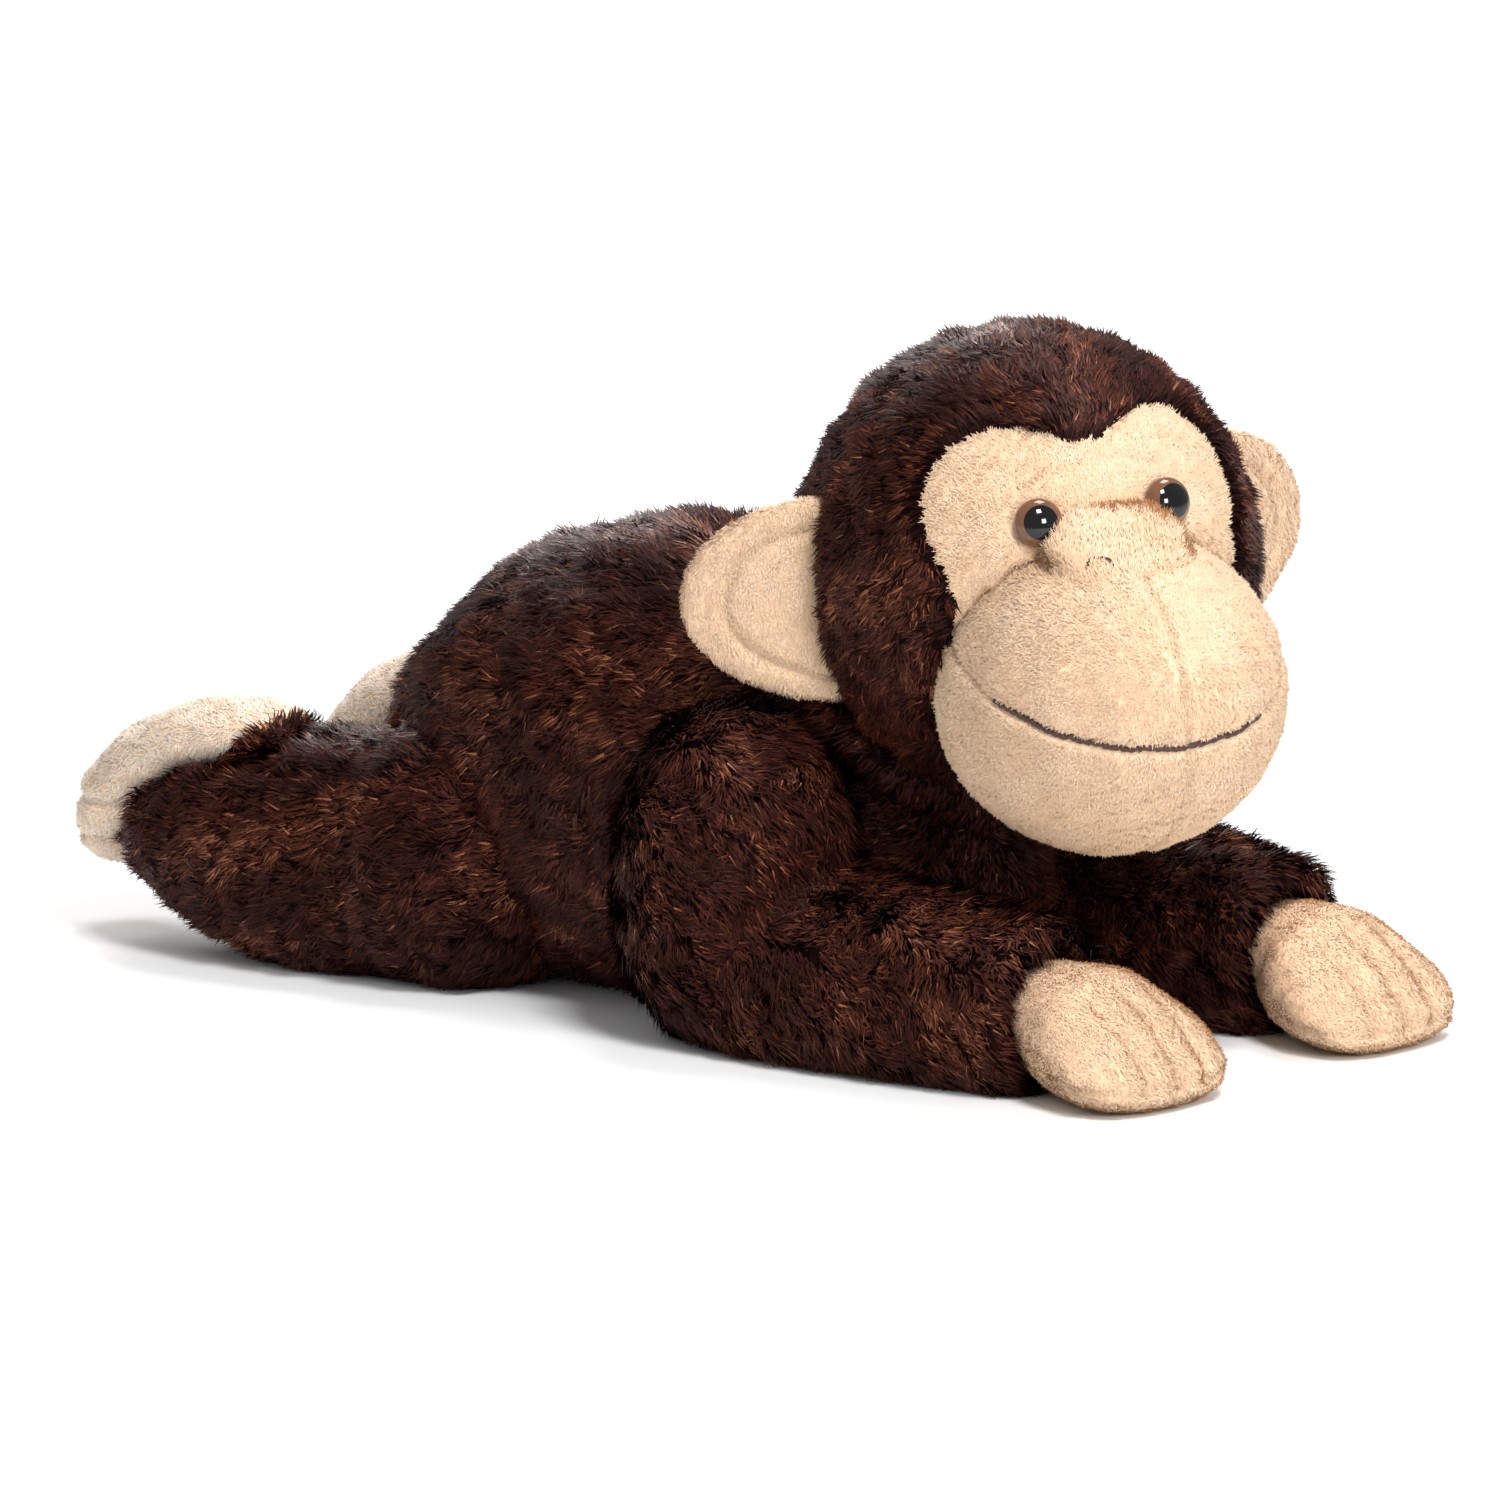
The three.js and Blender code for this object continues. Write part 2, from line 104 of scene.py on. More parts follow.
class MonkeySizes(PropertyGroup):
    """Lengths of the pile, the seams and the puff of the filling."""

    fur_length: length("Fur length", "Length of the long brown pile", 0.0095)
    fur_width: length("Fur width", "Width of a lock of fur at its root", 0.00062)
    fur_density: IntProperty(
        name="Fur density", description="Locks on each square centimetre", min=1, default=260
    )
    velour_length: length("Velour length", "Length of the short cream pile", 0.0019)
    velour_width: length("Velour width", "Width of a tuft of the cream pile", 0.00028)
    velour_density: IntProperty(
        name="Velour density", description="Tufts on each square centimetre", min=1, default=420
    )
    puff: length("Puff", "Furthest that the filling may push a panel out", 0.003)
    seam_depth: length("Seam depth", "How far a sewn line sinks into the pile", 0.0011)
    seam_width: length("Seam width", "Half width of a sewn line", 0.0013)
    thread: length("Thread", "Thickness of the mouth's embroidery thread", 0.0009)


class MonkeyColours(PropertyGroup):
    """Colours of the cloths, the threads and the eyes."""

    # Fur root is painted shade: the darkest brown, for the low parts of locks and the backing cloth down
    # in the pile.
    fur_root: colour("Fur root", "Brown pile near the cloth", (0.0100, 0.0026, 0.0024))
    fur_dark: colour("Fur dark", "Darker locks of the brown pile", (0.0220, 0.0052, 0.0042))
    fur_middle: colour("Fur middle", "Most tips of the brown pile", (0.0460, 0.0112, 0.0072))
    fur_light: colour("Fur light", "Palest tips of the brown pile", (0.1050, 0.0290, 0.0150))
    # The glint colour is a painted highlight: a few lock tips coloured pale, as if they catch the light.
    fur_glint: colour("Fur glint", "Few fibres that catch the light", (0.2900, 0.1050, 0.0500))
    cream: colour("Cream", "Cream velour", (0.800, 0.565, 0.375))
    # Cream shade is painted shade: darker cream for the hollows of the nap, down in the pile.
    cream_shade: colour("Cream shade", "Cream velour down in the pile", (0.700, 0.470, 0.295))
    cream_light: colour("Cream light", "Tips of the cream pile", (0.900, 0.715, 0.525))
    sole: colour("Sole", "Paler velour of the soles", (0.900, 0.770, 0.640))
    smile: colour("Smile", "Embroidery thread of the mouth", (0.060, 0.0150, 0.0080))
    iris: colour("Iris", "Brown ring of the eyes", (0.105, 0.0470, 0.0240))
    pupil: colour("Pupil", "Black middle of the eyes", (0.002, 0.0020, 0.0020))
    floor: colour("Floor", "Studio floor", (0.900, 0.900, 0.900))


class Wire:
    """A shader socket in an expression. Each operator adds its Math node."""

    def __init__(self, finish, socket):
        self.finish, self.socket = finish, socket

    def maths(self, operation, first, second):
        return self.finish.node("ShaderNodeMath", {"operation": operation}, {0: first, 1: second})

    def __add__(self, other):
        return self.maths("ADD", self, other)

    def __sub__(self, other):
        return self.maths("SUBTRACT", self, other)

    def __rsub__(self, other):
        return self.maths("SUBTRACT", other, self)

    def __mul__(self, other):
        return self.maths("MULTIPLY", self, other)

    def __pow__(self, other):
        return self.maths("POWER", self, other)

    def __rpow__(self, other):
        return self.maths("POWER", other, self)

    __radd__ = __add__
    __rmul__ = __mul__


class Finish:
    """A material under construction, on a Principled shader."""

    made = {}

    def __init__(self, name, sockets):
        self.material = bpy.data.materials.new(name)
        self.material.use_nodes = True
        self.tree = self.material.node_tree
        self.shader = self.tree.nodes["Principled BSDF"]
        self.feed(self.shader, sockets)

    def feed(self, node, values):
        for key, value in values.items():
            socket = node.inputs[key]
            if isinstance(value, Wire):
                self.tree.links.new(value.socket, socket)
            else:
                socket.default_value = value

    def node(self, kind, settings=None, values=None, output=0):
        """Adds a node: its type, its settings, then its socket values or links."""
        made = self.tree.nodes.new(kind)
        for key, value in (settings or {}).items():
            setattr(made, key, value)
        self.feed(made, values or {})
        return Wire(self, made.outputs[output])

    def place(self, stretch=(1, 1, 1)):
        where = self.node("ShaderNodeTexCoord", output="Object")
        return self.node("ShaderNodeMapping", values={"Vector": where, "Scale": stretch})

    def noise(self, scale, detail=2.0, roughness=0.5, stretch=(1, 1, 1)):
        sockets = {"Vector": self.place(stretch), "Scale": scale, "Detail": detail}
        return self.node("ShaderNodeTexNoise", values={**sockets, "Roughness": roughness})

    def mixed(self, amount, first, second):
        """Mixes two colours, which go in sockets 6 and 7 of a Mix node."""
        sockets = {0: amount, 6: rgba(first), 7: rgba(second)}
        return self.node("ShaderNodeMix", {"data_type": "RGBA"}, sockets, 2)

    def colour(self, value):
        self.feed(self.shader, {"Base Color": value})

    def bump(self, height, strength, distance):
        values = {"Height": height, "Strength": strength, "Distance": distance}
        self.feed(self.shader, {"Normal": self.node("ShaderNodeBump", values=values)})


def rgba(value):
    return value if isinstance(value, Wire) else (*value, 1)


def sizes():
    return bpy.context.scene.monkey_sizes


def colours():
    return bpy.context.scene.monkey_colours


def finish(name):
    """The named material, made the first time that a piece asks for it."""
    if name not in Finish.made:
        Finish.made[name] = FINISHES[name](name).material
    return Finish.made[name]


def lock_finish(name):
    """Fur fibre: one shade each, because a lock is thinner than any pattern on it."""
    shade = rgba(getattr(colours(), name))
    sockets = {"Base Color": shade, "Roughness": LOCKS[name], "Specular IOR Level": 0.13}
    return Finish(name, {**sockets, "Specular Tint": (1, 0.75, 0.65, 1)})


def tuft_finish(name):
    """Velour fibre, also one shade each."""
    shade = rgba(getattr(colours(), TUFTS[name]))
    return Finish(name, {"Base Color": shade, "Roughness": 0.9, "Specular IOR Level": 0.15})


def fur_cloth_finish(name):
    """Knitted backing between the roots of the brown pile."""
    made = Finish(name, {"Roughness": 0.9, "Specular IOR Level": 0.15})
    patches = made.noise(60, 3, 0.6)
    # Painted shade: the backing takes the two darkest fur colours, in random patches.
    made.colour(made.mixed(patches, colours().fur_root, colours().fur_dark))
    return made


def cream_cloth_finish(name):
    """Short velour: fine nap in soft patches, with painted shade in the nap's hollows, and painted sheen
    that leaves it darker where it's brushed the other way.
    """
    made = Finish(name, {"Roughness": 0.9, "Specular IOR Level": 0.15, "Sheen Weight": 0.3})
    nap = made.noise(1500, 2, 0.6, (1, 1, 0.45))
    brushed = made.noise(75, 3, 0.55)
    # Painted shade: darker cream where the nap's bump is low.
    shade = made.mixed(nap ** 1.5, colours().cream_shade, colours().cream)
    # Painted sheen: paler cream in broad patches, as velour brushed one way catches the light.
    made.colour(made.mixed(brushed * 0.5, shade, colours().cream_light))
    made.bump(nap, 0.5, 0.0006)
    return made


def thread_finish(name):
    """Twisted embroidery thread, with painted shade in the grooves of its twist."""
    made = Finish(name, {"Roughness": 0.6, "Sheen Weight": 0.2})
    shade = getattr(colours(), THREADS[name])
    sockets = {"Vector": made.place((1, 0.4, 1)), "Scale": 900.0, "Distortion": 2.0}
    twist = made.node("ShaderNodeTexWave", values=sockets, output="Fac")
    # Painted shade: the twist's grooves at half the thread's colour.
    made.colour(made.mixed(twist, [part * 0.5 for part in shade], shade))
    return made


def eye_finish(name):
    """Glossy plastic with faint flecks."""
    made = Finish(name, {"Roughness": 0.04, "Specular IOR Level": 0.5})
    shade = getattr(colours(), name)
    flecks = [part * EYES[name] for part in shade]
    made.colour(made.mixed(made.noise(700, 2), shade, flecks))
    return made


def fibre_finish(name):
    """Polyester fibre filling, with painted shade in the hollows between its strands."""
    made = Finish(name, {"Roughness": 0.95, "Sheen Weight": 0.4})
    strands = made.noise(260, 4, 0.7)
    # Painted shade: greyer where the strands' bump is low.
    made.colour(made.mixed(strands, (0.7, 0.7, 0.68), (0.93, 0.92, 0.9)))
    made.bump(strands, 0.6, 0.002)
    return made


def beads_finish(name):
    """Cloth bag that shows the plastic beads inside it, with painted shade in the hollows between the
    beads.
    """
    made = Finish(name, {"Roughness": 0.6})
    where = {"Vector": made.place(), "Scale": 280.0}
    bead = made.node("ShaderNodeTexVoronoi", values=where, output="Distance")
    # Painted shade: darker away from each bead's middle, where the bump is low.
    made.colour(made.mixed(bead, (0.8, 0.81, 0.78), (0.45, 0.46, 0.44)))
    made.bump(1 - bead, 0.7, 0.002)
    return made


def lock_washer_finish(name):
    """Moulded plastic with faint flow marks."""
    made = Finish(name, {"Specular IOR Level": 0.5})
    marks = made.noise(400, 2)
    made.colour(made.mixed(marks, (0.75, 0.75, 0.72), (0.85, 0.85, 0.82)))
    made.feed(made.shader, {"Roughness": marks * 0.3 + 0.3})
    return made


def floor_finish(name):
    """Matt studio paper."""
    made = Finish(name, {"Roughness": 0.9, "Specular IOR Level": 0.1})
    made.colour(made.mixed(made.noise(12) * 0.1, colours().floor, (0.86, 0.86, 0.86)))
    return made


LOCKS = {"fur_root": 0.8, "fur_dark": 0.6, "fur_middle": 0.5, "fur_light": 0.42, "fur_glint": 0.3}
TUFTS = {"tuft_shade": "cream", "tuft_sole": "sole", "tuft_light": "cream_light"}
THREADS = {"smile_thread": "smile", "cream_thread": "cream"}
EYES = {"iris": 1.8, "pupil": 1.5}
FINISHES = {
    **dict.fromkeys(LOCKS, lock_finish), **dict.fromkeys(TUFTS, tuft_finish),
    **dict.fromkeys(THREADS, thread_finish), **dict.fromkeys(EYES, eye_finish),
    "fur_cloth": fur_cloth_finish, "cream_cloth": cream_cloth_finish, "fibre": fibre_finish,
    "beads": beads_finish, "lock_washer": lock_washer_finish, "floor": floor_finish,
}


def points(mesh):
    co = np.empty(len(mesh.vertices) * 3)
    mesh.vertices.foreach_get("co", co)
    return co.reshape(-1, 3)


def move_points(mesh, co):
    mesh.vertices.foreach_set("co", np.ascontiguousarray(co, dtype=np.float64).ravel())
    mesh.update()


def normals(mesh):
    out = np.empty(len(mesh.vertices) * 3)
    mesh.vertices.foreach_get("normal", out)
    return out.reshape(-1, 3)


def edges(mesh):
    out = np.empty(len(mesh.edges) * 2, dtype=np.int64)
    mesh.edges.foreach_get("vertices", out)
    return out.reshape(-1, 2)


def triangles(mesh):
    mesh.calc_loop_triangles()
    out = np.empty(len(mesh.loop_triangles) * 3, dtype=np.int64)
    mesh.loop_triangles.foreach_get("vertices", out)
    return out.reshape(-1, 3)


def add_object(name, mesh, materials):
    made = bpy.data.objects.new(name, mesh)
    bpy.context.scene.collection.objects.link(made)
    for material in materials:
        mesh.materials.append(finish(material))
    return made


def relaxed(mesh, rounds):
    """Rounds a mesh off without shrinking it: each round pulls points in, then pushes them back."""
    co, pairs = points(mesh), edges(mesh)
    ends = np.concatenate([pairs, pairs[:, ::-1]])
    count = np.maximum(np.bincount(ends[:, 0], minlength=len(co)), 1)[:, None]
    for _ in range(rounds):
        for share in (0.5, -0.52):
            total = np.stack([
                np.bincount(ends[:, 0], co[ends[:, 1], axis], len(co)) for axis in range(3)
            ], 1)
            co = co + share * (total / count - co)
    move_points(mesh, co)


def evaluated(made):
    """A piece's mesh with its modifiers applied."""
    depsgraph = bpy.context.evaluated_depsgraph_get()
    mesh = bpy.data.meshes.new_from_object(made.evaluated_get(depsgraph), depsgraph=depsgraph)
    made.modifiers.clear()
    return mesh


def copied(nodes):
    """One mesh that holds copies of CAD nodes."""
    places, faces, start = [], [], 0
    for name in nodes:
        mesh = frame["nodes"][name].data
        places.append(points(mesh))
        faces.append(triangles(mesh) + start)
        start += len(mesh.vertices)
    out = bpy.data.meshes.new("copied")
    out.from_pydata(np.concatenate(places).tolist(), [], np.concatenate(faces).tolist())
    return out


def puffed(made, frames=16):
    """Fills a skin with air by cloth simulation, and caps how far its points move."""
    cap = sizes().puff
    rest = points(made.data)
    cloth = made.modifiers.new("filling", "CLOTH").settings
    cloth.quality = 4
    cloth.mass = 0.2
    cloth.use_pressure = True
    cloth.uniform_pressure_force = 4
    cloth.effector_weights.gravity = 0
    for step in range(1, frames + 1):
        bpy.context.scene.frame_set(step)
    mesh = evaluated(made)
    shift = points(mesh) - rest
    distance = np.linalg.norm(shift, axis=1, keepdims=True)
    shift *= np.minimum(1, cap / np.maximum(distance, 1e-9))
    made.data = mesh
    move_points(mesh, rest + shift)
    relaxed(mesh, 4)
    bpy.context.scene.frame_set(1)


def stuffed(name, nodes, voxel, rounds=30, puff=False, swell=0.0):
    """A closed round skin over CAD nodes, such as a limb's panels with the filling inside them."""
    made = add_object(name, copied(nodes), [])
    remesh = made.modifiers.new("skin", "REMESH")
    remesh.mode = "VOXEL"
    remesh.voxel_size = voxel
    made.data = evaluated(made)
    relaxed(made.data, rounds)
    if swell:
        move_points(made.data, points(made.data) + normals(made.data) * swell)
    if puff:
        puffed(made)
    subdivide = made.modifiers.new("fine", "SUBSURF")
    subdivide.levels = subdivide.render_levels = 1
    made.data = evaluated(made)
    co = points(made.data)
    low = min(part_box(node)[0].z for node in nodes)
    co[:, 2] = np.maximum(co[:, 2], low)
    move_points(made.data, co)
    made.data.shade_smooth()
    return made


def sunk(mesh, distance, depth=None, width=None):
    """Pulls a mesh in along a line, where distance is each point's distance from that line."""
    depth = depth or sizes().seam_depth
    width = width or sizes().seam_width
    dip = depth * np.exp(-(distance / width) ** 2)
    move_points(mesh, points(mesh) - normals(mesh) * dip[:, None])


def part_of(made, name, keep, materials):
    """A new piece from the faces of a mesh whose middle passes a test."""
    mesh = made.data
    co = points(mesh)
    quads = np.empty(len(mesh.loops), dtype=np.int64)
    mesh.loops.foreach_get("vertex_index", quads)
    corners = np.empty(len(mesh.polygons), dtype=np.int64)
    mesh.polygons.foreach_get("loop_total", corners)
    owner = np.repeat(np.arange(len(corners)), corners)
    middle = np.stack([np.bincount(owner, co[quads, axis]) for axis in range(3)], 1) / corners[:, None]
    chosen = np.flatnonzero(keep(middle))
    starts = np.concatenate([[0], np.cumsum(corners)])
    faces = [quads[starts[i]:starts[i + 1]] for i in chosen]
    used, order = np.unique(np.concatenate(faces), return_inverse=True)
    ends = np.cumsum([len(face) for face in faces])[:-1]
    out = bpy.data.meshes.new(name)
    out.from_pydata(co[used].tolist(), [], [face.tolist() for face in np.split(order, ends)])
    out.shade_smooth()
    return add_object(name, out, materials)


def head_places(co):
    """Places in the head's own directions."""
    return (co - HEAD_AT) @ HEAD_AXES.T


def ripple(co, scale, seed):
    """Smooth noise from a few sine waves, between about -1 and 1."""
    waves = np.random.default_rng(seed).normal(size=(5, 3)) * scale
    turns = np.random.default_rng(seed + 1).uniform(0, 2 * math.pi, 5)
    return np.sin(co @ waves.T + turns).mean(1) * 1.6


def scattered(mesh, density, rng):
    """Points spread evenly over a mesh, with the direction out of the surface at each."""
    tris, co, out = triangles(mesh), points(mesh), normals(mesh)
    a, b, c = co[tris[:, 0]], co[tris[:, 1]], co[tris[:, 2]]
    area = np.linalg.norm(np.cross(b - a, c - a), axis=1) / 2
    count = int(area.sum() * density * 1e4)
    chosen = rng.choice(len(tris), count, p=area / area.sum())
    u, v = rng.random(count), rng.random(count)
    over = u + v > 1
    u[over], v[over] = 1 - u[over], 1 - v[over]
    weights = np.stack([1 - u - v, u, v], 1)[:, :, None]
    root = (co[tris[chosen]] * weights).sum(1)
    normal = (out[tris[chosen]] * weights).sum(1)
    return root, normal / np.linalg.norm(normal, axis=1, keepdims=True)


def clear_of(root, trees, reach):
    """True for the roots that are further than reach from every neighbouring skin."""
    free = np.ones(len(root), bool)
    for tree in trees:
        for i in np.flatnonzero(free):
            free[i] = tree.find_nearest(root[i], reach)[0] is None
    return free


def unit(vectors):
    return vectors / np.maximum(np.linalg.norm(vectors, axis=1, keepdims=True), 1e-12)


def pile(name, skin, lay, size, shades, seed, lean, trees=(), clump=420, mess=0.5, gather=0.0,
         spread=0.1, clear=0.0012, stray=0.12, pressed=False, floor=0.0004):
    """Tapered blades over a skin. Lay gives the brushed direction at each root, and size holds the
    length, width and density. Shades lists pairs of materials, for the lower and upper part of a
    blade, with the share of blades that get them. Gather pulls the tips into tufts. Blades close to
    a neighbouring skin are pressed flat, or else left out."""
    rng = np.random.default_rng(seed)
    long, wide, density = size
    root, out = scattered(skin.data, density, rng)
    free = clear_of(root, trees, clear)
    if not pressed:
        root, out, free = root[free], out[free], free[free]
    count = len(root)
    flow = lay(root)
    flow = unit(flow - out * (flow * out).sum(1, keepdims=True))
    side = np.cross(out, flow)
    swirl = ripple(root, clump, seed + 2) * 0.7 + rng.normal(0, mess, count)
    flow = flow * np.cos(swirl)[:, None] + side * np.sin(swirl)[:, None]
    side = unit(np.cross(out, flow))
    tall = long * (0.72 + 0.2 * ripple(root, clump * 0.8, seed + 3) + rng.uniform(-0.18, 0.22, count))
    tilt = lean + 0.2 * ripple(root, clump * 1.3, seed + 4) + rng.normal(0, stray, count)
    tilt = np.clip(tilt, 0.15, 1.45)
    tall, tilt = np.where(free, tall, tall * 0.6)[:, None], np.where(free, tilt, 1.42)[:, None]
    half = side * (wide / 2) * rng.uniform(0.7, 1.3, count)[:, None]
    middle = root + tall * 0.55 * (out * np.cos(tilt * 0.7) + flow * np.sin(tilt * 0.7))
    tip = root + tall * (out * np.cos(tilt) + flow * np.sin(tilt))
    tone = rng.normal(0, 0.16, count)
    if gather:
        tuft = tufts_of(root, 18)
        tip += gather * (tip[tuft] - tip)
        middle += gather * 0.4 * (middle[tuft] - middle)
        tone += rng.normal(0, 0.1, count)[tuft]
    corners = np.stack([root + half, root - half, middle - half * 0.8, middle + half * 0.8, tip], 1)
    corners[:, :, 2] = np.maximum(corners[:, :, 2], floor)
    mesh = blades_mesh(name, corners, count)
    tone = np.clip(0.5 + 0.22 * ripple(root, clump * 0.35, seed + 5) + tone, 0, 0.999)
    steps = np.cumsum([share for *_, share in shades])[:-1]
    chosen = np.searchsorted(steps, tone)
    materials = list(dict.fromkeys(material for *pair, _ in shades for material in pair))
    table = np.array([[materials.index(low), materials.index(high)] for low, high, _ in shades])
    mesh.polygons.foreach_set("material_index", table[chosen].ravel().astype(np.int32))
    bent = unit(out * 0.95 + flow * spread * 2.5 + rng.normal(0, spread, (count, 3)))
    mesh.normals_split_custom_set_from_vertices(np.repeat(bent, 5, axis=0).tolist())
    return add_object(name, mesh, materials)


def tufts_of(root, size):
    """For each root, the nearest of the few roots that lead a tuft."""
    leaders = max(1, len(root) // size)
    tree = KDTree(leaders)
    for i in range(leaders):
        tree.insert(root[i], i)
    tree.balance()
    return np.array([tree.find(place)[1] for place in root])


def blades_mesh(name, corners, count):
    """A quad with a triangle on top of it for each blade."""
    start = np.arange(count)[:, None] * 5
    loops = (start + np.array([0, 1, 2, 3, 3, 2, 4])).ravel()
    mesh = bpy.data.meshes.new(name)
    mesh.vertices.add(count * 5)
    mesh.vertices.foreach_set("co", corners.ravel())
    mesh.loops.add(count * 7)
    mesh.loops.foreach_set("vertex_index", loops.astype(np.int32))
    mesh.polygons.add(count * 2)
    firsts = (np.arange(count)[:, None] * 7 + np.array([0, 4])).ravel()
    mesh.polygons.foreach_set("loop_start", firsts.astype(np.int32))
    mesh.polygons.foreach_set("use_smooth", np.ones(count * 2, bool))
    mesh.update(calc_edges=True)
    return mesh


# In every pair the upper part of a blade is as pale as its lower part or paler: painted shade low in the
# pile and painted light towards the tips. Which pair a blade gets is random tone.
FUR = [
    ("fur_root", "fur_dark", 0.34), ("fur_dark", "fur_middle", 0.30), ("fur_dark", "fur_light", 0.26),
    # The glint tips are a painted highlight.
    ("fur_middle", "fur_glint", 0.10),
]
VELOUR = [("tuft_shade", "tuft_shade", 0.6), ("tuft_shade", "tuft_light", 0.4)]
SOLE = [("tuft_light", "tuft_sole", 0.3), ("tuft_sole", "tuft_sole", 0.7)]


def fur(name, skin, lay, seed, body, trees=(), share=1.0, lean=0.95):
    size = (sizes().fur_length * share, sizes().fur_width, sizes().fur_density)
    made = pile(name, skin, lay, size, FUR, seed, lean, trees, gather=0.4, spread=0.16, pressed=True)
    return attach(made, body)


def velour(name, skin, lay, seed, body, trees=(), lean=1.1, share=1.0, shades=VELOUR):
    size = (sizes().velour_length * share, sizes().velour_width, sizes().velour_density)
    settings = {"clump": 900, "mess": 0.6, "spread": 0.06, "clear": 0.0007, "stray": 0.2}
    made = pile(name, skin, lay, size, shades, seed, lean, trees, **settings)
    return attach(made, body)


def steady(direction):
    """The same lay everywhere."""
    return lambda root: np.tile(np.array(direction, float), (len(root), 1))


def away_from(point, drop=0.0):
    """A lay that runs away from a point, and down by a share."""
    return lambda root: unit(root - np.array(point)) - np.array([0, 0, drop])


def dress(made, body, nodes):
    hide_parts(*nodes)
    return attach(made, body)


def tree_of(made):
    mesh = made.data
    return BVHTree.FromPolygons(points(mesh).tolist(), triangles(mesh).tolist())


def discard(made):
    bpy.data.objects.remove(made)


def strand(name, path, radius, material, around=8):
    """A thread along a path, with a slight twist in its thickness."""
    path = np.array(path)
    ahead = unit(np.gradient(path, axis=0))
    reference = np.array([0.3, 0.2, 1.0])
    side = unit(np.cross(ahead, reference))
    over = np.cross(side, ahead)
    turn = np.linspace(0, 2 * math.pi, around, endpoint=False)
    steps = np.arange(len(path))
    thick = radius * (1 + 0.18 * np.sin(steps * 1.9))[:, None, None]
    ring = side[:, None] * np.cos(turn)[None, :, None] + over[:, None] * np.sin(turn)[None, :, None]
    co = (path[:, None] + ring * thick).reshape(-1, 3)
    faces = []
    for i in range(len(path) - 1):
        for j in range(around):
            k = (j + 1) % around
            faces.append((i * around + j, i * around + k, (i + 1) * around + k, (i + 1) * around + j))
    faces.append(tuple(range(around))[::-1])
    faces.append(tuple((len(path) - 1) * around + j for j in range(around)))
    mesh = bpy.data.meshes.new(name)
    mesh.from_pydata(co.tolist(), [], faces)
    mesh.shade_smooth()
    return add_object(name, mesh, [material])


# Finished skins by name, which the pile and the threads are laid over later.
SKINS = {}


class MONKEY_OT_torso(Operator):
    """Sew the torso, which the long brown pile covers later"""

    bl_idname = "monkey.torso"
    bl_label = "Torso"

    def execute(self, context):
        panels = ["torso_back_panel_left", "torso_back_panel_right", "torso_belly_panel"]
        skin = stuffed("torso", [*panels, "torso_stuffing", "belly_pellet_bag"], 4 * MM, puff=True)
        co = points(skin.data)
        sunk(skin.data, np.where(co[:, 2] > 0.03, np.abs(co[:, 0]), 1.0))
        skin.data.materials.append(finish("fur_cloth"))
        dress(skin, "torso", panels)
        SKINS["torso"] = skin
        return {"FINISHED"}


class MONKEY_OT_neck(Operator):
    """Sew the collar that the head sits in"""

    bl_idname = "monkey.neck"
    bl_label = "Neck"

    def execute(self, context):
        skin = stuffed("neck", ["neck_collar"], 2.5 * MM, 6)
        skin.data.materials.append(finish("fur_cloth"))
        dress(skin, "neck", ["neck_collar"])
        SKINS["neck"] = skin
        return {"FINISHED"}


class MONKEY_OT_head(Operator):
    """Sew the head ball, in brown pile round a cream face"""

    bl_idname = "monkey.head"
    bl_label = "Head and face"

    def execute(self, context):
        nodes = ["head_panel_left", "head_panel_right", "face_panel", "head_stuffing"]
        whole = stuffed("head_ball", nodes, 3 * MM, 40)
        brown = part_of(whole, "head_cloth", lambda co: ~on_face(co), ["fur_cloth"])
        dress(brown, "head", ["head_panel_left", "head_panel_right"])
        face = part_of(whole, "face", on_face, ["cream_cloth"])
        self.brow(face.data)
        dress(face, "head", ["face_panel"])
        discard(whole)
        SKINS["head"], SKINS["face"] = brown, face
        return {"FINISHED"}

    def brow(self, mesh):
        """A seam that arches between the eyes, and a hollow round each eye."""
        x, _, z = head_places(points(mesh)).T
        arch = 34 * MM - (x / (26 * MM)) ** 2 * 8 * MM
        sunk(mesh, np.where(np.abs(x) < 20 * MM, np.abs(z - arch), 1.0))
        for side in SIDES.values():
            x, _, z = head_places(points(mesh)).T
            sunk(mesh, np.hypot(x - side * EYE_ACROSS, z - EYE_UP), 1.6 * MM, 8 * MM)


def on_face(co):
    """Inside the two lobes of the face, or in the band below them."""
    x, y, z = head_places(co).T
    lobe = np.hypot(np.abs(x) - FACE_LOBE_ACROSS, z - FACE_LOBE_UP) < FACE_LOBE_RADIUS
    brow = (np.abs(x) < FACE_LOBE_ACROSS) & (z < FACE_BROW) & (z > 0)
    band = (np.abs(x) < 37.5 * MM) & (z < FACE_LOBE_UP) & (z > -6 * MM)
    return (lobe | brow | band) & (y < -20 * MM)


def mouth_height(y):
    """The height of the mouth line, which rises towards the cheeks."""
    return MOUTH_FRONT_HEIGHT + (y - MUZZLE_FRONT) * MOUTH_SLOPE


def below_mouth(co):
    _, y, z = head_places(co).T
    return z < mouth_height(y)


def seam_gap(co):
    """How far each place is from the muzzle's seams."""
    x, y, z = head_places(co).T
    return np.minimum(np.abs(x), np.abs(z - mouth_height(y)) / math.hypot(1, MOUTH_SLOPE))


def on_nose(co):
    """On the pad that tops the muzzle."""
    return np.linalg.norm((head_places(co) - NOSE_AT) / NOSE_RADII, axis=1) < 1


def on_cheeks(co):
    """On the muzzle above the mouth line, off the nose."""
    return ~on_nose(co) & ~below_mouth(co)


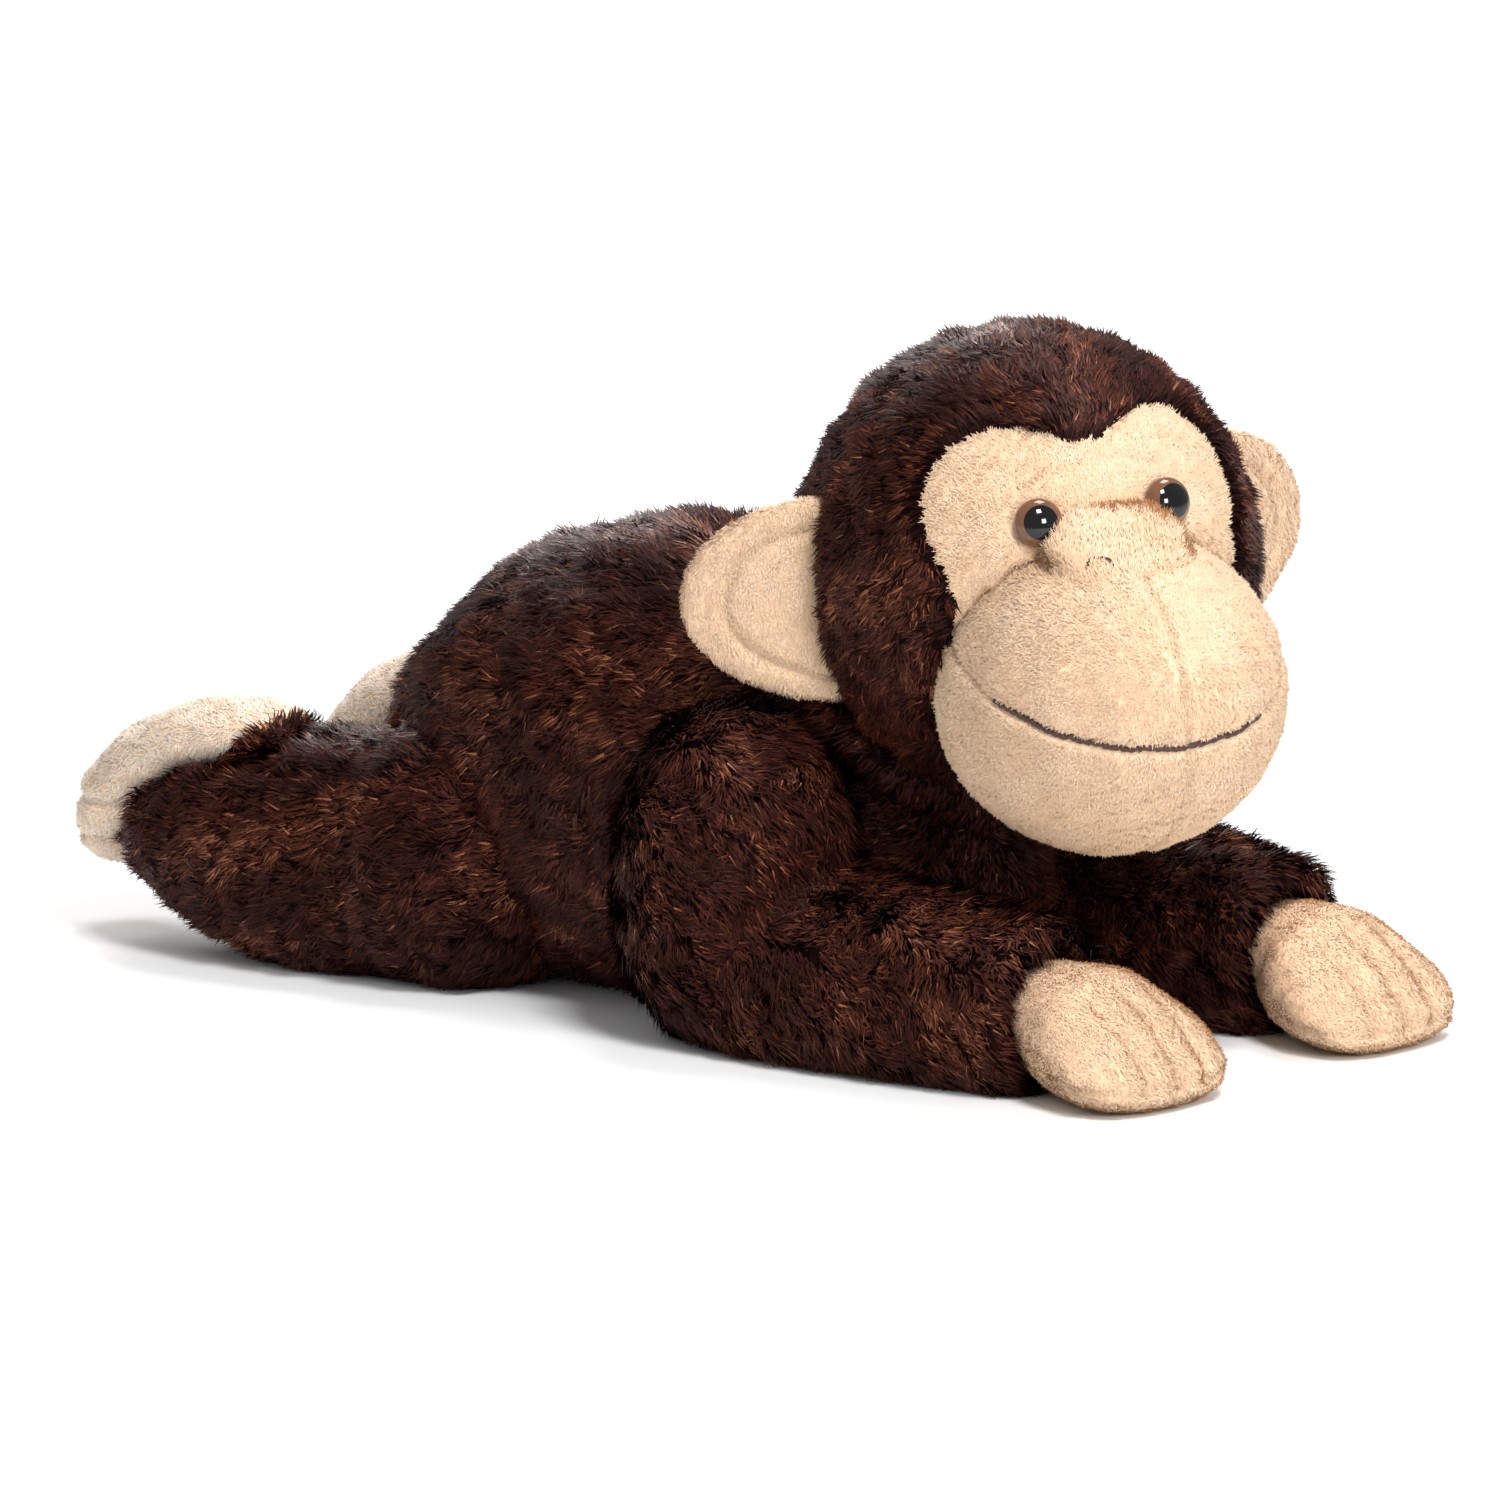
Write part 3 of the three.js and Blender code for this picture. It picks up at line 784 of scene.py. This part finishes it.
class MONKEY_OT_muzzle(Operator):
    """Sew the muzzle in two cheeks and a chin, with the nose pad on top"""

    bl_idname = "monkey.muzzle"
    bl_label = "Muzzle and nose"

    def execute(self, context):
        panels = ["muzzle_panel_left", "muzzle_panel_right", "chin_panel", "nose_pad"]
        whole = stuffed("muzzle", [*panels, "muzzle_stuffing"], 2.2 * MM, 46, swell=0.6 * MM)
        mesh = whole.data
        co = points(mesh)
        place = head_places(co)
        on_pad = np.clip((1.25 - np.linalg.norm((place - NOSE_AT) / NOSE_RADII, axis=1)) * 4, 0, 1)
        above = on_pad * np.clip((place[:, 2] - 10 * MM) / (8 * MM), 0, 1)
        co += (above * 10 * MM)[:, None] * HEAD_BACK
        co -= (on_pad * place[:, 0] * 0.1)[:, None] * HEAD_ACROSS
        move_points(mesh, co)
        inside = 1 - np.linalg.norm((head_places(points(mesh)) - NOSE_AT) / NOSE_RADII, axis=1)
        sunk(mesh, inside * 12 * MM, 0.5 * MM, 1.6 * MM)
        sunk(mesh, np.where(on_nose(points(mesh)), 1.0, seam_gap(points(mesh))), 1.5 * MM, 1.3 * MM)
        keeps = {
            "muzzle_cheek_left": lambda co: on_cheeks(co) & (head_places(co)[:, 0] > 0),
            "muzzle_cheek_right": lambda co: on_cheeks(co) & (head_places(co)[:, 0] <= 0),
            "chin": below_mouth,
            "nose": on_nose,
        }
        for node, (name, keep) in zip(panels, keeps.items()):
            SKINS[name] = part_of(whole, name, keep, ["cream_cloth"])
            dress(SKINS[name], "head", [node])
        SKINS["muzzle"] = whole
        self.nostril(tree_of(SKINS["nose"]))
        return {"FINISHED"}

    def nostril(self, tree):
        """A few dark stitches at the lower edge of the nose, on the monkey's right."""
        arc = []
        for turn in np.linspace(-0.6, 3.4, 16):
            across, up = -9.5 + 2.6 * math.cos(turn), 12.6 + 1.3 * math.sin(turn)
            arc.append(on_surface(tree, (across * MM, up * MM), 0.9 * MM))
        stitch = strand("nostril", arc, 0.35 * MM, "smile_thread")
        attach(stitch, "head")


def on_surface(tree, place, lift=0.2 * MM):
    """The front point of a head piece at a place across and up, lifted a little."""
    across, up = place
    start = HEAD_AT + HEAD_AXES.T @ np.array([across, -0.15, up])
    hit, normal, _, _ = tree.ray_cast(Vector(start), Vector(HEAD_BACK))
    if hit is None:
        raise RuntimeError(f"no surface at {place}")
    return np.array(hit + normal * lift)


class MONKEY_OT_smile(Operator):
    """Embroider the mouth in one twisted thread"""

    bl_idname = "monkey.smile"
    bl_label = "Smile"

    def execute(self, context):
        tree = tree_of(SKINS["muzzle"])
        angles = np.linspace(math.radians(-65), math.radians(29), 120)
        line = [self.on_line(tree, angle) for angle in angles]
        thread = strand("smile", line, sizes().thread * 0.75, "smile_thread")
        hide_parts("mouth_thread")
        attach(thread, "head")
        discard(SKINS.pop("muzzle"))
        return {"FINISHED"}

    def on_line(self, tree, angle):
        """The muzzle's surface on the mouth line, looking out from inside at an angle."""
        middle = np.array([0, -44 * MM, mouth_height(-44 * MM)])
        out = np.array([math.sin(angle), -math.cos(angle), -MOUTH_SLOPE * math.cos(angle)])
        start = HEAD_AT + HEAD_AXES.T @ (middle + out * 0.09)
        hit, normal, _, _ = tree.ray_cast(Vector(start), Vector(HEAD_AXES.T @ -out))
        if hit is None:
            raise RuntimeError("the mouth line misses the muzzle")
        return np.array(hit + normal * 0.8 * MM)


class MONKEY_OT_eyes(Operator):
    """Make the glossy safety eyes"""

    bl_idname = "monkey.eyes"
    bl_label = "Eyes"

    def execute(self, context):
        rim, dome, seat, post, post_end, pupil = 6.1 * MM, 4.2 * MM, -0.6 * MM, 1.6 * MM, -8 * MM, 0.7
        turns = np.linspace(0, math.pi / 2, 29)
        profile = [(rim * math.sin(turn), dome * math.cos(turn)) for turn in turns]
        profile += [(rim, seat), (post, seat), (post, post_end), (0, post_end)]
        shades = [int(reach < rim * pupil) for reach, _ in profile[:29]] + [0, 0, 0]
        for name, side in SIDES.items():
            across, up = side * EYE_ACROSS, EYE_UP
            depth = math.sqrt(HEAD_RADIUS ** 2 - across ** 2 - up ** 2)
            aim = HEAD_AXES.T @ unit(np.array([[across * 0.6, -depth, up * 0.6]]))[0]
            place = HEAD_AT + HEAD_AXES.T @ np.array([across, -depth, up]) + aim * 0.1 * MM
            made = lathed(f"eye_dome_{name}", profile, shades, place, aim, ["iris", "pupil"])
            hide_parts(f"eye_{name}")
            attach(made, "head")
        return {"FINISHED"}


def lathed(name, profile, shades, place, aim, materials, around=48):
    """A profile of radii and heights turned about an axis, with a shade for each ring of faces."""
    spin = np.linspace(0, 2 * math.pi, around, endpoint=False)
    ring = np.stack([np.cos(spin), np.sin(spin)], 1)
    rings = [np.column_stack([ring * reach, np.full(around, height)]) for reach, height in profile]
    co = np.concatenate(rings)
    turn = Vector((0, 0, 1)).rotation_difference(Vector(aim)).to_matrix()
    faces = []
    for i in range(len(profile) - 1):
        for j in range(around):
            k = (j + 1) % around
            faces.append((i * around + j, (i + 1) * around + j, (i + 1) * around + k, i * around + k))
    mesh = bpy.data.meshes.new(name)
    mesh.from_pydata((co @ np.array(turn).T + place).tolist(), [], faces)
    mesh.polygons.foreach_set("material_index", np.repeat(shades, around).astype(np.int32))
    mesh.shade_smooth()
    return add_object(name, mesh, materials)


class MONKEY_OT_ears(Operator):
    """Sew the ears, with a line of topstitching inside the rim"""

    bl_idname = "monkey.ears"
    bl_label = "Ears"

    def execute(self, context):
        for name in SIDES:
            nodes = [f"ear_front_panel_{name}", f"ear_back_panel_{name}"]
            skin = stuffed(f"ear_{name}", nodes, 2 * MM, 14, puff=True)
            skin.data.materials.append(finish("cream_cloth"))
            self.topstitch(skin.data, name)
            dress(skin, f"ear_{name}", nodes)
            SKINS[f"ear_{name}"] = skin
        return {"FINISHED"}

    def topstitch(self, mesh, name):
        """Sinks a line that follows the ear's outline, a little way in from it."""
        out = points(mesh) - np.array(JOINTS[f"ear_flex_{name}"]["pos_m"])
        up = out @ HEAD_UP
        flat = out - up[:, None] * HEAD_UP
        reach = np.linalg.norm(flat, axis=1)
        share = np.hypot(reach / (39 * MM), up / (25.5 * MM))
        sunk(mesh, np.abs(share - 0.74) * 30 * MM, 1.5 * MM, 1.4 * MM)
        bowl = np.clip(1 - share / 0.74, 0, 1) * 1.6 * MM
        move_points(mesh, points(mesh) - normals(mesh) * (bowl * 0.4)[:, None])


def sew_limbs(kind):
    """A closed round skin over each sleeve of a kind, left and right."""
    for name in SIDES:
        limb, sleeve = f"{kind}_{name}", f"{kind}_sleeve_{name}"
        skin = stuffed(limb, [sleeve, f"{kind}_stuffing_{name}"], 3.5 * MM, puff=True)
        skin.data.materials.append(finish("fur_cloth"))
        dress(skin, limb, [sleeve])
        SKINS[limb] = skin


class MONKEY_OT_arms(Operator):
    """Sew the arms"""

    bl_idname = "monkey.arms"
    bl_label = "Arms"

    def execute(self, context):
        sew_limbs("arm")
        return {"FINISHED"}


class MONKEY_OT_hands(Operator):
    """Sew the hands, with three stitched grooves between the fingers"""

    bl_idname = "monkey.hands"
    bl_label = "Hands"

    def execute(self, context):
        for name in SIDES:
            panels = [f"hand_back_panel_{name}", f"hand_palm_panel_{name}"]
            stitches = [f"hand_finger_stitch_{name}_{i}" for i in (1, 2, 3)]
            nodes = [*panels, *stitches, f"hand_pellet_bag_{name}"]
            skin = stuffed(f"hand_{name}", nodes, 2.2 * MM, 16)
            skin.data.materials.append(finish("cream_cloth"))
            pellets = stuffed(f"hand_pellets_{name}", nodes[-1:], 2.5 * MM, 10, swell=-1.6 * MM)
            pellets.data.materials.append(finish("beads"))
            dress(pellets, f"hand_{name}", nodes[-1:])
            front, reach = points(skin.data)[:, 1].min(), np.ptp(points(skin.data)[:, 1])
            for mesh in (skin.data, pellets.data):
                co = points(mesh)
                thin = np.clip(1 - (co[:, 1] - front) / reach * 2, 0, 1) ** 1.5
                co[:, 2] *= 1 - 0.32 * thin
                move_points(mesh, co)
            for stitch in stitches:
                low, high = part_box(stitch)
                x, y, z = points(skin.data).T
                beyond = np.maximum(y - high.y, 0)
                distance = np.hypot(x - (low.x + high.x) / 2, beyond)
                sunk(skin.data, np.where(z > 5 * MM, distance, 1.0), 1.6 * MM, 2.5 * MM)
            dress(skin, f"hand_{name}", panels)
            self.seam(skin)
            self.threads(skin, name, stitches)
            SKINS[f"hand_{name}"] = skin
        return {"FINISHED"}

    def seam(self, skin):
        """The side seam, low down round the hand."""
        _, y, z = points(skin.data).T
        front, back = y.min(), y.max()
        level = (6 + 6 * (y - front) / (back - front)) * MM
        sunk(skin.data, np.abs(z - level), 0.9 * MM, 1.2 * MM)

    def threads(self, skin, name, stitches):
        tree = tree_of(skin)
        for number, stitch in enumerate(stitches, 1):
            low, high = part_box(stitch)
            path = []
            for y in np.linspace(high.y, low.y, 24):
                hit = tree.ray_cast(Vector(((low.x + high.x) / 2, y, 0.08)), Vector((0, 0, -1)))[0]
                path.append(np.array(hit) - [0, 0, 0.05 * MM])
            made = strand(f"finger_thread_{name}_{number}", path, 0.22 * MM, "cream_thread")
            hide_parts(stitch)
            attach(made, f"hand_{name}")


class MONKEY_OT_legs(Operator):
    """Sew the legs"""

    bl_idname = "monkey.legs"
    bl_label = "Legs"

    def execute(self, context):
        sew_limbs("leg")
        return {"FINISHED"}


class MONKEY_OT_feet(Operator):
    """Sew the feet, with cream soles, brown insteps and stitched toes"""

    bl_idname = "monkey.feet"
    bl_label = "Feet"

    def execute(self, context):
        for name in SIDES:
            panels = [f"foot_sole_panel_{name}", f"foot_instep_panel_{name}"]
            stitches = [f"foot_toe_stitch_{name}_{i}" for i in (1, 2)]
            whole = stuffed(f"foot_{name}", [*panels, *stitches, f"foot_pellet_bag_{name}"], 2.2 * MM, 16)
            for stitch in stitches:
                low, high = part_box(stitch)
                _, y, z = points(whole.data).T
                distance = np.hypot(z - (low.z + high.z) / 2, np.maximum(low.y - 8 * MM - y, 0))
                sunk(whole.data, distance, 1.8 * MM, 1.6 * MM)
            sole = part_of(whole, f"foot_sole_{name}", self.on_sole, ["cream_cloth"])
            instep = part_of(whole, f"foot_instep_{name}", lambda co: ~self.on_sole(co), ["fur_cloth"])
            dress(sole, f"foot_{name}", panels[:1])
            dress(instep, f"foot_{name}", panels[1:])
            self.threads(whole, name, stitches)
            SKINS[f"foot_sole_{name}"], SKINS[f"foot_instep_{name}"] = sole, instep
            discard(whole)
        return {"FINISHED"}

    @staticmethod
    def on_sole(co):
        return (0.6 * co[:, 1] + 0.8 * co[:, 2] > 113 * MM) | (co[:, 1] > 151 * MM)

    def threads(self, whole, name, stitches):
        tree = tree_of(whole)
        for number, stitch in enumerate(stitches, 1):
            low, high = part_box(stitch)
            middle = (low + high) / 2
            path = []
            for angle in np.linspace(math.radians(-80), math.radians(80), 30):
                out = Vector((math.sin(angle), math.cos(angle), 0))
                start = Vector((middle.x, high.y - 16 * MM, middle.z))
                hit, normal, _, _ = tree.ray_cast(start + out * 0.06, -out)
                path.append(np.array(hit + normal * 0.15 * MM))
            made = strand(f"toe_thread_{name}_{number}", path, 0.28 * MM, "cream_thread")
            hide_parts(stitch)
            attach(made, f"foot_{name}")


class MONKEY_OT_brown_pile(Operator):
    """Cover the brown panels with long silky fur"""

    bl_idname = "monkey.brown_pile"
    bl_label = "Brown pile"

    def execute(self, context):
        trees = {name: tree_of(skin) for name, skin in SKINS.items()}
        limbs = [trees[name] for name in ("arm_left", "arm_right", "leg_left", "leg_right")]
        self.torso(limbs)
        lay = away_from(HEAD_AT + HEAD_AXES.T @ np.array([0, -0.045, 0.03]), 0.3)
        near = [trees[f"ear_{side}"] for side in SIDES]
        for side, sign in SIDES.items():
            half = part_of(SKINS["head"], "half", lambda co: sign * head_places(co)[:, 0] > 0, [])
            fur(f"head_fur_{side}", half, lay, 31 + sign, "head", near, 0.85)
            discard(half)
        fur("neck_fur", SKINS["neck"], steady((0, 0.6, -0.8)), 41, "neck", (), 0.9)
        for side, sign in SIDES.items():
            arm, leg, foot = f"arm_{side}", f"leg_{side}", f"foot_{side}"
            down = steady((sign * 0.1, -0.75, -0.55))
            fur(f"arm_fur_{side}", SKINS[arm], down, 51 + sign, arm, [trees["torso"]])
            down = steady((sign * 0.15, 0.85, -0.35))
            fur(f"leg_fur_{side}", SKINS[leg], down, 61 + sign, leg, [trees["torso"]], 0.9)
            instep, down = SKINS[f"foot_instep_{side}"], steady((sign * 0.1, 0.6, 0.1))
            fur(f"foot_fur_{side}", instep, down, 65 + sign, foot, (), 0.7)
        return {"FINISHED"}

    def torso(self, limbs):
        lay = steady((0, 0.75, -0.6))
        belly = 16 * MM
        for name, keep in {
            "left": lambda co: (co[:, 2] > belly) & (co[:, 0] > 0),
            "right": lambda co: (co[:, 2] > belly) & (co[:, 0] <= 0),
            "belly": lambda co: co[:, 2] <= belly,
        }.items():
            panel = part_of(SKINS["torso"], "panel", keep, [])
            fur(f"torso_fur_{name}", panel, lay, 20 + len(name), "torso", limbs)
            discard(panel)


class MONKEY_OT_cream_pile(Operator):
    """Cover the cream panels with short velour"""

    bl_idname = "monkey.cream_pile"
    bl_label = "Cream pile"

    def execute(self, context):
        outward = away_from(HEAD_AT + HEAD_AXES.T @ np.array([0, -0.09, 0.0]), 0.2)
        eyes = [tree_of(bpy.data.objects[f"eye_dome_{name}"]) for name in SIDES]
        velour("face_pile", SKINS["face"], outward, 71, "head", eyes, 0.95)
        velour("nose_pile", SKINS["nose"], steady(HEAD_UP - 0.3 * HEAD_BACK), 72, "head", (), 0.7, 1.5)
        smile = [tree_of(bpy.data.objects["smile"])]
        for number, name in enumerate(("muzzle_cheek_left", "muzzle_cheek_right", "chin")):
            lay = away_from(HEAD_AT + HEAD_AXES.T @ np.array([0, -0.095, -0.012]), 0.4)
            velour(f"{name}_pile", SKINS[name], lay, 73 + number, "head", smile, 1.05)
        for name, side in SIDES.items():
            ear, hand, foot = f"ear_{name}", f"hand_{name}", f"foot_{name}"
            velour(f"ear_pile_{name}", SKINS[ear], steady((0, 0.1, -1)), 81 + side, ear)
            velour(f"hand_pile_{name}", SKINS[hand], steady((0, -1, -0.2)), 85 + side, hand)
            sole, lay = SKINS[f"foot_sole_{name}"], steady((0, 0.7, -0.7))
            velour(f"foot_pile_{name}", sole, lay, 89 + side, foot, shades=SOLE)
        return {"FINISHED"}


class MONKEY_OT_filling(Operator):
    """Give the filling, the pellet bags and the lock washers their finishes"""

    bl_idname = "monkey.filling"
    bl_label = "Filling"

    def execute(self, context):
        finishes = {"stuffing": "fibre", "pellet_bag": "beads", "lock_washer": "lock_washer"}
        for name, made in frame["nodes"].items():
            for word, material in finishes.items():
                if word in name:
                    made.material_slots[0].material = finish(material)
        return {"FINISHED"}


class MONKEY_OT_stage(Operator):
    """Lay the floor, hang the lights and set up the camera"""

    bl_idname = "monkey.stage"
    bl_label = "Stage"

    def execute(self, context):
        scene = context.scene
        mesh = bpy.data.meshes.new("floor")
        reach = 3.0
        corners = [(-reach, -reach, 0), (reach, -reach, 0), (reach, reach, 0), (-reach, reach, 0)]
        mesh.from_pydata(corners, [], [(0, 1, 2, 3)])
        add_object("floor", mesh, ["floor"])
        world = bpy.data.worlds.new("studio")
        world.use_nodes = True
        world.node_tree.nodes["Background"].inputs["Color"].default_value = (1, 1, 1, 1)
        world.node_tree.nodes["Background"].inputs["Strength"].default_value = 0.46
        scene.world = world
        aim = Vector((0, 0, 0.059))
        self.lamp("key", (-0.6, -1.0, 1.6), aim, 0.45, 26)
        self.lamp("front", (-0.51, -1.41, 0.6), aim, 0.35, 9)
        self.lamp("top", (0.5, 0.1, 1.6), aim, 0.6, 13)
        self.lamp("rim", (0.9, 1.1, 0.9), aim, 0.7, 12)
        lens, distance = 1200, 12.34
        azimuth, height = math.radians(50), math.radians(12)
        flat = math.cos(height)
        away = Vector((-math.sin(azimuth) * flat, -math.cos(azimuth) * flat, math.sin(height)))
        camera = bpy.data.objects.new("camera", bpy.data.cameras.new("camera"))
        camera.data.lens = lens
        camera.location = aim + away * distance
        camera.rotation_euler = (aim - camera.location).to_track_quat("-Z", "Y").to_euler()
        scene.collection.objects.link(camera)
        scene.camera = camera
        scene.view_settings.view_transform = "Standard"
        return {"FINISHED"}

    def lamp(self, name, place, aim, size, power):
        light = bpy.data.lights.new(name, "AREA")
        light.size = size
        light.energy = power
        made = bpy.data.objects.new(name, light)
        made.location = place
        made.rotation_euler = (aim - Vector(place)).to_track_quat("-Z", "Y").to_euler()
        bpy.context.scene.collection.objects.link(made)


OPERATORS = (
    MONKEY_OT_stage, MONKEY_OT_torso, MONKEY_OT_neck, MONKEY_OT_head, MONKEY_OT_muzzle,
    MONKEY_OT_smile, MONKEY_OT_eyes, MONKEY_OT_ears, MONKEY_OT_arms, MONKEY_OT_hands, MONKEY_OT_legs,
    MONKEY_OT_feet, MONKEY_OT_brown_pile, MONKEY_OT_cream_pile, MONKEY_OT_filling,
)


class MONKEY_PT_panel(Panel):
    """Lists the steps that make the monkey"""

    bl_idname = "MONKEY_PT_panel"
    bl_label = "Stuffed monkey"
    bl_space_type = "VIEW_3D"
    bl_region_type = "UI"
    bl_category = "Monkey"

    def draw(self, context):
        for operator in OPERATORS:
            self.layout.operator(operator.bl_idname)
        for group in (context.scene.monkey_sizes, context.scene.monkey_colours):
            for name in group.bl_rna.properties.keys():
                if name not in ("rna_type", "name"):
                    self.layout.prop(group, name)


CLASSES = (MonkeySizes, MonkeyColours, *OPERATORS, MONKEY_PT_panel)


def register():
    for item in CLASSES:
        bpy.utils.register_class(item)
    bpy.types.Scene.monkey_sizes = PointerProperty(type=MonkeySizes)
    bpy.types.Scene.monkey_colours = PointerProperty(type=MonkeyColours)


def unregister():
    del bpy.types.Scene.monkey_colours
    del bpy.types.Scene.monkey_sizes
    for item in reversed(CLASSES):
        bpy.utils.unregister_class(item)


def main():
    register()
    for operator in OPERATORS:
        getattr(bpy.ops.monkey, operator.bl_idname.split(".")[1])()


if __name__ == "__main__":
    main()
